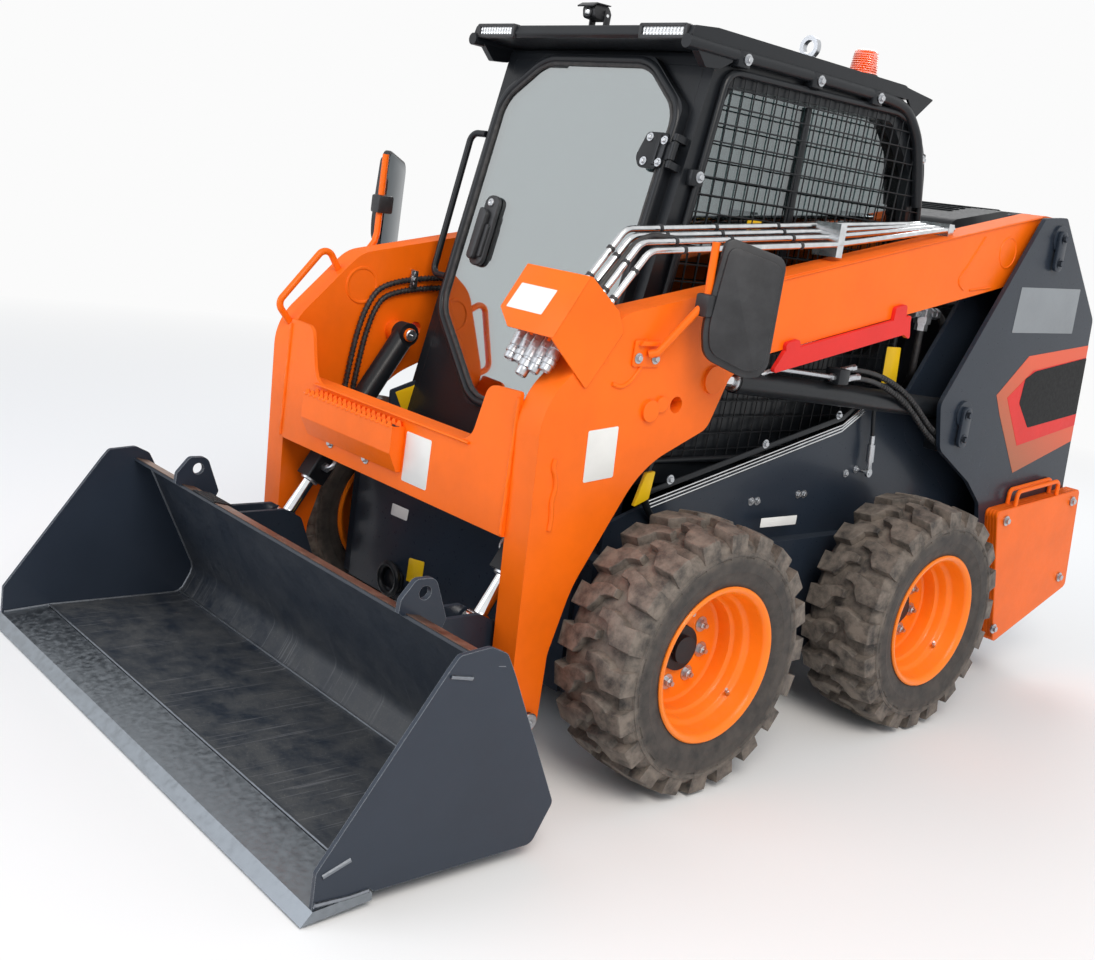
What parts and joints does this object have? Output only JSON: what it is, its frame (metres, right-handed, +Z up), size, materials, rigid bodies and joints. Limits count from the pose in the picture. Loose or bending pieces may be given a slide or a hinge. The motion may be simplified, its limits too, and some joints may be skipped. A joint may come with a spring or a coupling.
{
  "type": "skid steer loader",
  "caption": "Compact skid steer loader on wheels with an enclosed cab, radial lift arms, and a low profile bucket that curls and dumps.",
  "frame": {"origin": "centre of the machine's footprint, on the ground", "axes": "+Y towards the engine end, -Y towards the bucket, +X to the machine's left, +Z up"},
  "size_m": [1.91, 3.6084, 2.1562],
  "materials": {
    "orange_paint": "glossy orange enamel",
    "rim_paint": "glossy orange enamel",
    "slate_paint": "satin slate blue enamel",
    "bucket_steel": "slate paint worn to steel",
    "black_paint": "satin black powder coat",
    "black_plastic": "moulded black plastic",
    "red_paint": "red enamel",
    "chrome": "hard chrome plating",
    "zinc": "zinc plated steel",
    "window_glass": "toughened glass",
    "seat_vinyl": "black vinyl",
    "lamp_lens": "clear lens",
    "amber_lens": "amber lens",
    "hose_rubber": "black hose with a spiral guard",
    "tyre_rubber": "dusty rubber"
  },
  "bodies": {
    "chassis": {"main_frame": "slate_paint", "towers": "slate_paint", "pivot_pins": "zinc", "side_weights": "orange_paint", "axle_hubs": "black_paint", "engine_block": "black_paint", "engine_cowl": "black_paint", "cab_frame": "black_paint", "cab_front": "black_paint", "cab_top": "black_paint", "cab_back": "black_paint", "cab_floor": "black_paint", "cab_roof": "black_paint", "side_guards": "black_paint", "side_windows": "window_glass", "rear_window": "window_glass", "seat_base": "black_paint", "seat_cushion": "seat_vinyl", "seat_back": "seat_vinyl", "control_levers": "black_plastic", "work_lamps": "lamp_lens", "beacon": "amber_lens", "lifting_eyes": "zinc", "roof_camera": "black_plastic", "grab_rail": "black_paint"},
    "lift_arm": {"left_arm": "orange_paint", "right_arm": "orange_paint", "cross_member": "orange_paint", "step": "orange_paint", "coupler_block": "orange_paint", "steel_lines": "zinc", "arm_handle": "orange_paint", "mirrors": "black_plastic", "tilt_hoses": "hose_rubber", "support_bar": "red_paint"},
    "bucket": {"quick_attach": "slate_paint", "bucket_shell": "bucket_steel", "bucket_sides": "slate_paint", "cutting_edge": "bucket_steel", "bucket_ears": "slate_paint"},
    "lift_cylinders": {"lift_barrels": "black_paint", "lift_hoses": "hose_rubber"},
    "lift_pistons": {"lift_rods": "chrome"},
    "tilt_cylinders": {"tilt_barrels": "black_paint"},
    "tilt_pistons": {"tilt_rods": "chrome"},
    "cab_door": {"cab_door_frame": "black_paint", "cab_door_glass": "window_glass", "cab_door_latch": "black_plastic"},
    "tailgate": {"rear_door": "black_paint"},
    "hood": {"engine_hood": "black_paint"},
    "wheel_set_front_left": {"tyre_front_left": "tyre_rubber", "wheel_front_left": "rim_paint"},
    "wheel_set_rear_left": {"tyre_rear_left": "tyre_rubber", "wheel_rear_left": "rim_paint"},
    "wheel_set_front_right": {"tyre_front_right": "tyre_rubber", "wheel_front_right": "rim_paint"},
    "wheel_set_rear_right": {"tyre_rear_right": "tyre_rubber", "wheel_rear_right": "rim_paint"}
  },
  "joints": [
    {"name": "lift", "type": "hinge", "parent": "chassis", "child": "lift_arm", "pos_m": [0, 1.2285, 1.672], "axis": [-1, 0, 0], "range_deg": [0, 66]},
    {"name": "bucket_tilt", "type": "hinge", "parent": "lift_arm", "child": "bucket", "pos_m": [0, -0.9765, 0.2], "axis": [1, 0, 0], "range_deg": [-28, 100]},
    {"name": "lift_cylinder_swing", "type": "hinge", "parent": "chassis", "child": "lift_cylinders", "pos_m": [0, 0.8285, 1.033], "axis": [-1, 0, 0], "range_deg": [0, 64.5]},
    {"name": "lift_rod_slide", "type": "slide", "parent": "lift_cylinders", "child": "lift_pistons", "axis": [0, -0.9975, 0.0711], "range_m": [0, 0.822]},
    {"name": "tilt_cylinder_swing", "type": "hinge", "parent": "lift_arm", "child": "tilt_cylinders", "pos_m": [0, -0.6815, 1.043], "axis": [1, 0, 0], "range_deg": [-1.8, 5.1]},
    {"name": "tilt_rod_slide", "type": "slide", "parent": "tilt_cylinders", "child": "tilt_pistons", "axis": [0, -0.5288, -0.8488], "range_m": [-0.105, 0.367]},
    {"name": "cab_door_hinge", "type": "hinge", "parent": "chassis", "child": "cab_door", "pos_m": [0.432, -0.70071, 0.89248], "axis": [0, 0.2079, 0.9781], "range_deg": [0, 78]},
    {"name": "rear_door_hinge", "type": "hinge", "parent": "chassis", "child": "tailgate", "pos_m": [-0.5367, 1.6365, 0.9], "axis": [0, 0, 1], "range_deg": [0, 95]},
    {"name": "hood_hinge", "type": "hinge", "parent": "chassis", "child": "hood", "pos_m": [0, 0.9335, 1.405], "axis": [1, 0, 0], "range_deg": [0, 50]},
    {"name": "wheel_front_left_spin", "type": "hinge", "parent": "chassis", "child": "wheel_set_front_left", "pos_m": [0.785, -0.5315, 0.382], "axis": [1, 0, 0], "continuous": true},
    {"name": "wheel_rear_left_spin", "type": "hinge", "parent": "chassis", "child": "wheel_set_rear_left", "pos_m": [0.785, 0.5485, 0.382], "axis": [1, 0, 0], "continuous": true},
    {"name": "wheel_front_right_spin", "type": "hinge", "parent": "chassis", "child": "wheel_set_front_right", "pos_m": [-0.785, -0.5315, 0.382], "axis": [1, 0, 0], "continuous": true},
    {"name": "wheel_rear_right_spin", "type": "hinge", "parent": "chassis", "child": "wheel_set_rear_right", "pos_m": [-0.785, 0.5485, 0.382], "axis": [1, 0, 0], "continuous": true}
  ],
  "couplings": [
    {"joint": "lift_cylinder_swing", "follows": "lift", "ratio": 0.9704},
    {"joint": "lift_rod_slide", "follows": "lift", "m_per_rad": 0.7112},
    {"joint": "tilt_cylinder_swing", "follows": "bucket_tilt", "ratio": 0.0462},
    {"joint": "tilt_rod_slide", "follows": "bucket_tilt", "m_per_rad": 0.2087}
  ]
}
